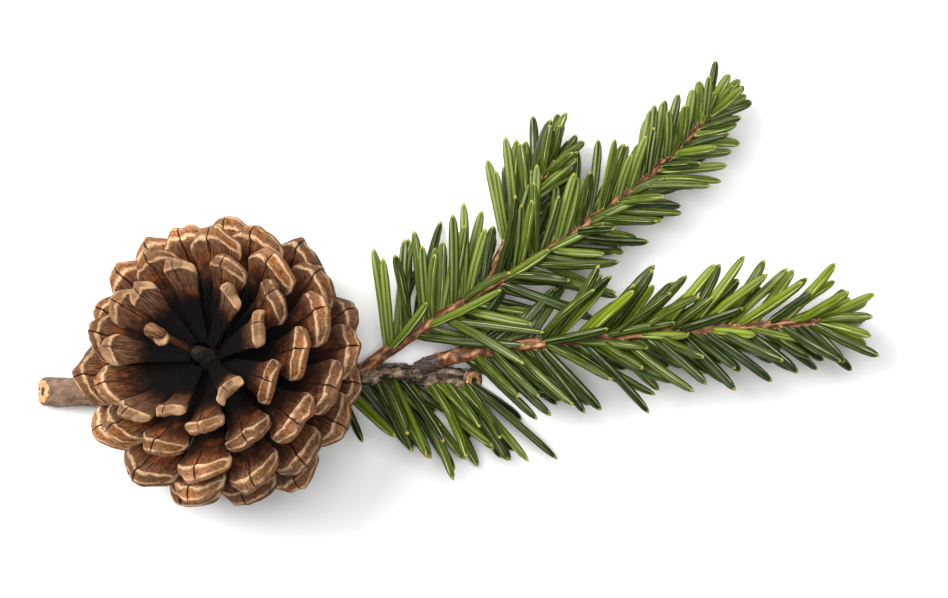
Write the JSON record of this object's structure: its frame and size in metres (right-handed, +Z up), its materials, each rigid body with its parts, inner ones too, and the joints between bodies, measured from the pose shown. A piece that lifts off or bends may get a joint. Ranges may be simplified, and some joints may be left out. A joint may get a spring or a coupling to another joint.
{
  "type": "fir branch with pine cone",
  "caption": "Cut fir branch lying flat: a bark twig with needled sprigs, and an open pine cone resting on the twig, its scales spread around a core.",
  "frame": {"origin": "on the flat underside of the main twig, close to where the lower sprig forks off", "axes": "+X along the twig towards the tips of the sprigs, +Y to the side on which the upper sprig grows, +Z up from the surface that the branch lies on"},
  "size_m": [0.1671, 0.0896, 0.0476],
  "materials": {
    "bark": "rough grey-brown bark with pale flakes, light tan cut ends",
    "foliage": "waxy living green needles with pale stripes and yellow tips, on orange-brown ridged stems",
    "cone_scale": "dry wooden scale, dark red-brown inside, tan ridged end",
    "cone_core": "dry fibrous wood, nearly black-brown"
  },
  "bodies": {
    "root": {"main_twig": "bark", "upper_sprig": "foliage", "lower_sprig": "foliage", "side_sprig": "foliage", "cone_core": "cone_core", "cone_scale_01": "cone_scale", "cone_scale_02": "cone_scale", "cone_scale_03": "cone_scale", "cone_scale_04": "cone_scale", "cone_scale_05": "cone_scale", "cone_scale_06": "cone_scale", "cone_scale_07": "cone_scale", "cone_scale_08": "cone_scale", "cone_scale_09": "cone_scale", "cone_scale_10": "cone_scale", "cone_scale_11": "cone_scale", "cone_scale_12": "cone_scale", "cone_scale_13": "cone_scale", "cone_scale_14": "cone_scale", "cone_scale_15": "cone_scale", "cone_scale_16": "cone_scale", "cone_scale_17": "cone_scale", "cone_scale_18": "cone_scale", "cone_scale_19": "cone_scale", "cone_scale_20": "cone_scale", "cone_scale_21": "cone_scale", "cone_scale_22": "cone_scale", "cone_scale_23": "cone_scale", "cone_scale_24": "cone_scale", "cone_scale_25": "cone_scale", "cone_scale_26": "cone_scale", "cone_scale_27": "cone_scale", "cone_scale_28": "cone_scale", "cone_scale_29": "cone_scale", "cone_scale_30": "cone_scale", "cone_scale_31": "cone_scale", "cone_scale_32": "cone_scale", "cone_scale_33": "cone_scale", "cone_scale_34": "cone_scale", "cone_scale_35": "cone_scale", "cone_scale_36": "cone_scale", "cone_scale_37": "cone_scale", "cone_scale_38": "cone_scale", "cone_scale_39": "cone_scale", "cone_scale_40": "cone_scale", "cone_scale_41": "cone_scale", "cone_scale_42": "cone_scale", "cone_scale_43": "cone_scale", "cone_scale_44": "cone_scale", "cone_scale_45": "cone_scale", "cone_scale_46": "cone_scale", "cone_scale_47": "cone_scale", "cone_scale_48": "cone_scale", "cone_scale_49": "cone_scale", "cone_scale_50": "cone_scale", "cone_scale_51": "cone_scale", "cone_scale_52": "cone_scale", "cone_scale_53": "cone_scale", "cone_scale_54": "cone_scale", "cone_scale_55": "cone_scale"}
  },
  "joints": []
}
